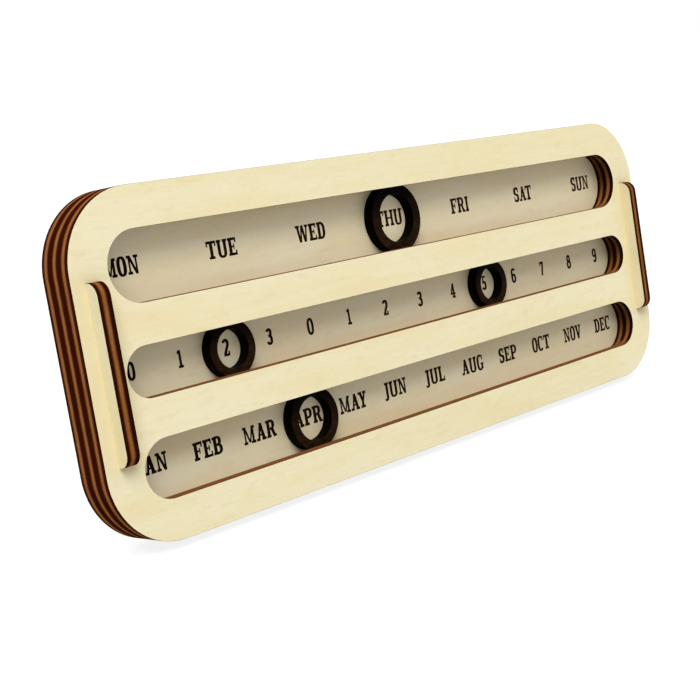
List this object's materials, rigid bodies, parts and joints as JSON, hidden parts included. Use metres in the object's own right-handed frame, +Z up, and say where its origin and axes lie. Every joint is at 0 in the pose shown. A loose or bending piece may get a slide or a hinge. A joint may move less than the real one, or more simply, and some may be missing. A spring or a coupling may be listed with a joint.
{
  "type": "perpetual desk calendar",
  "caption": "Leaning plywood calendar: rings slide along slotted rows of marks and pick out the weekday, the date and the month.",
  "frame": {"origin": "on the desk, under the middle of the calendar's footprint", "axes": "+Z up, -Y towards the reader, +X along the rows from the first mark to the last"},
  "size_m": [0.2, 0.0494, 0.0752],
  "materials": {
    "front_board": "pale birch plywood face, bare, with laser-browned edges",
    "middle_board": "birch plywood, of which only laser-browned edges show",
    "back_board": "pale birch plywood face, bare, with burnt marks along the rows",
    "key_and_leg": "pale birch plywood, bare, with laser-browned edges",
    "stained_ring": "wood stained nearly black, matt"
  },
  "bodies": {
    "board": {"front_board": "front_board", "middle_board": "middle_board", "back_board": "back_board", "left_key": "key_and_leg", "right_key": "key_and_leg", "left_leg": "key_and_leg", "right_leg": "key_and_leg"},
    "weekday_slider": {"weekday_ring": "stained_ring"},
    "tens_slider": {"tens_ring": "stained_ring"},
    "units_slider": {"units_ring": "stained_ring"},
    "month_slider": {"month_ring": "stained_ring"}
  },
  "joints": [
    {"name": "weekday_slide", "type": "slide", "parent": "board", "child": "weekday_slider", "axis": [1, 0, 0], "range_m": [-0.08225, 0.08355]},
    {"name": "tens_slide", "type": "slide", "parent": "board", "child": "tens_slider", "axis": [1, 0, 0], "range_m": [-0.02553, 0.01374]},
    {"name": "units_slide", "type": "slide", "parent": "board", "child": "units_slider", "axis": [1, 0, 0], "range_m": [-0.06481, 0.05302]},
    {"name": "month_slide", "type": "slide", "parent": "board", "child": "month_slider", "axis": [1, 0, 0], "range_m": [-0.04522, 0.12298]}
  ]
}
